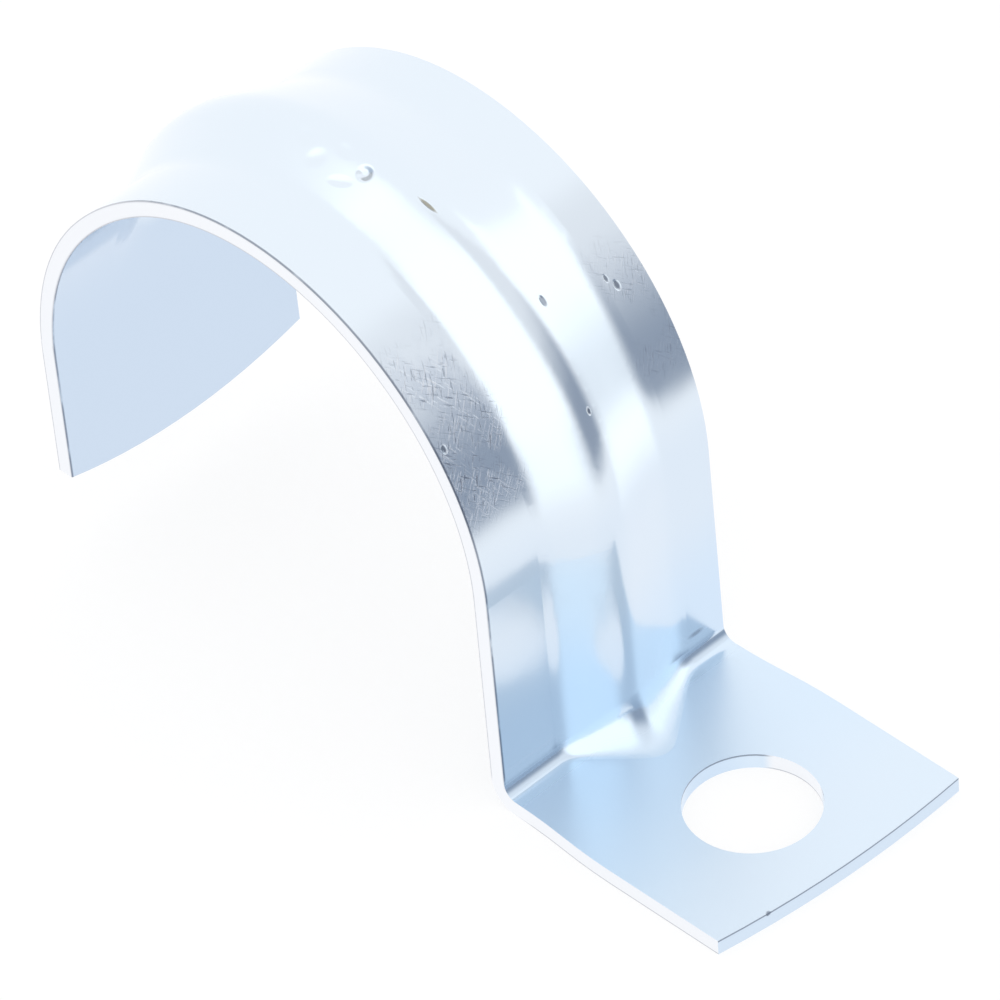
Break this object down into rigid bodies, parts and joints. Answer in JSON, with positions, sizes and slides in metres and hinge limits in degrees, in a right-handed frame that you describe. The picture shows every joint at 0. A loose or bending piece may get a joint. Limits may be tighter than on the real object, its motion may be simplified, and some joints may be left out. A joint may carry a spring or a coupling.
{
  "type": "conduit strap",
  "caption": "One-hole strap of pressed sheet steel: a ribbed half-round arch holds a conduit, and a flat foot with a screw hole fixes it to a wall.",
  "frame": {"origin": "on the mounting surface, on the axis of the screw hole", "axes": "+X from the arch towards the foot's end, +Y along the conduit, +Z away from the mounting surface"},
  "size_m": [0.0478, 0.0164, 0.0297],
  "materials": {
    "zinc_steel": "satin bright zinc plating, lightly scuffed"
  },
  "bodies": {
    "root": {"strap": "zinc_steel"}
  },
  "joints": []
}
